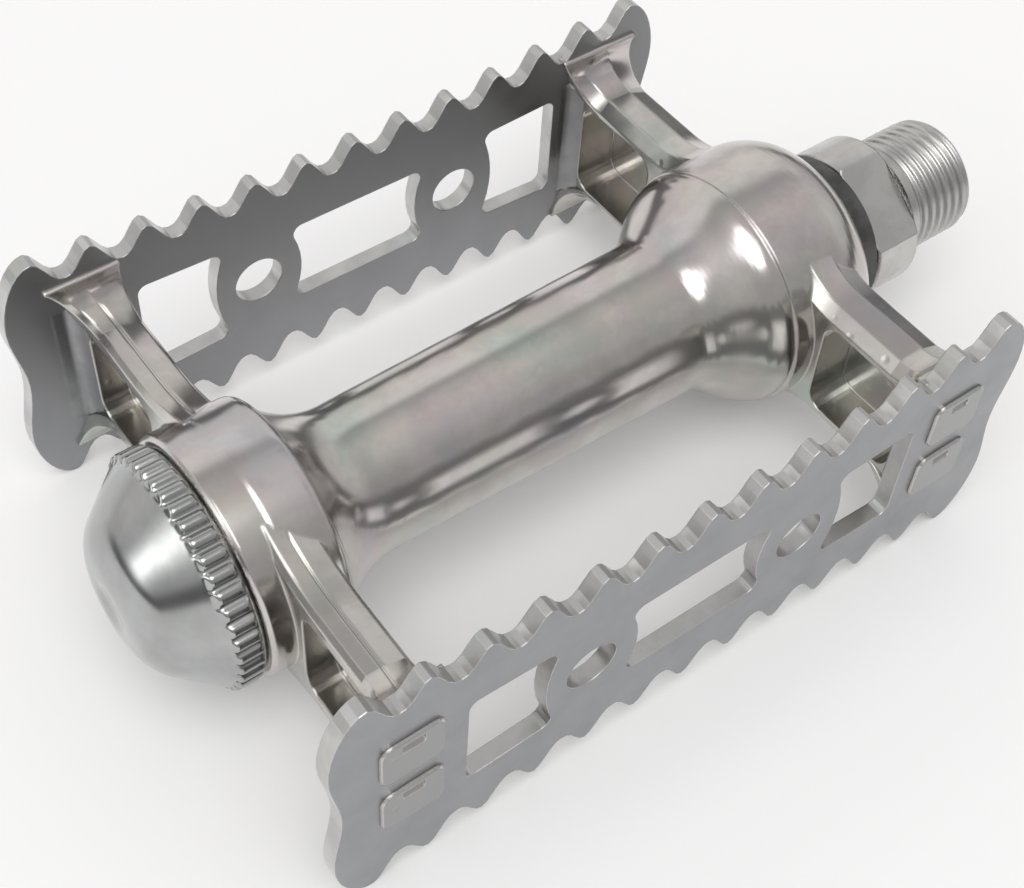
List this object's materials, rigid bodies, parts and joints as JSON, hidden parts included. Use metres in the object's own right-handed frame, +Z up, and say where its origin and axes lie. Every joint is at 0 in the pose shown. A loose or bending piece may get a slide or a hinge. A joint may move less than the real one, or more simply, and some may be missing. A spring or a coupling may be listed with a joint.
{
  "type": "bicycle pedal",
  "caption": "Cage-type bicycle pedal with a cast body, toothed cage plates staked to its arms, and a threaded spindle turning in ball bearings.",
  "frame": {"origin": "where the spindle's axis meets the collar's shoulder, the face that seats on the crank", "axes": "+X along the spindle out of the crank thread, +Y towards the rear cage plate, +Z up, square to the pedal's tread"},
  "size_m": [0.1105, 0.0632, 0.0326],
  "materials": {
    "cast_body": "polished",
    "cage_plate": "satin",
    "spindle": "satin, cut thread",
    "bearing": "ground and hardened",
    "small_steel": "plain plated",
    "dust_cap": "polished",
    "dust_seal": "dull, dark",
    "balls": "polished"
  },
  "bodies": {
    "cage": {"pedal_body": "cast_body", "front_cage_plate": "cage_plate", "rear_cage_plate": "cage_plate", "inboard_cup": "bearing", "outboard_cup": "bearing", "dust_cap": "dust_cap", "dust_seal": "dust_seal"},
    "axle": {"spindle": "spindle", "outboard_cone": "bearing", "lock_washer": "small_steel", "lock_nut": "small_steel"},
    "inboard_balls": {"inboard_ball_1": "balls", "inboard_ball_2": "balls", "inboard_ball_3": "balls", "inboard_ball_4": "balls", "inboard_ball_5": "balls", "inboard_ball_6": "balls", "inboard_ball_7": "balls", "inboard_ball_8": "balls", "inboard_ball_9": "balls", "inboard_ball_10": "balls"},
    "outboard_balls": {"outboard_ball_1": "balls", "outboard_ball_2": "balls", "outboard_ball_3": "balls", "outboard_ball_4": "balls", "outboard_ball_5": "balls", "outboard_ball_6": "balls", "outboard_ball_7": "balls", "outboard_ball_8": "balls", "outboard_ball_9": "balls", "outboard_ball_10": "balls"}
  },
  "joints": [
    {"name": "spindle_spin", "type": "hinge", "parent": "cage", "child": "axle", "pos_m": [0, 0, 0], "axis": [1, 0, 0], "continuous": true},
    {"name": "inboard_ball_orbit", "type": "hinge", "parent": "cage", "child": "inboard_balls", "pos_m": [0, 0, 0], "axis": [1, 0, 0], "continuous": true},
    {"name": "outboard_ball_orbit", "type": "hinge", "parent": "cage", "child": "outboard_balls", "pos_m": [0, 0, 0], "axis": [1, 0, 0], "continuous": true}
  ],
  "couplings": [
    {"joint": "inboard_ball_orbit", "follows": "spindle_spin", "ratio": 0.4},
    {"joint": "outboard_ball_orbit", "follows": "spindle_spin", "ratio": 0.4}
  ]
}
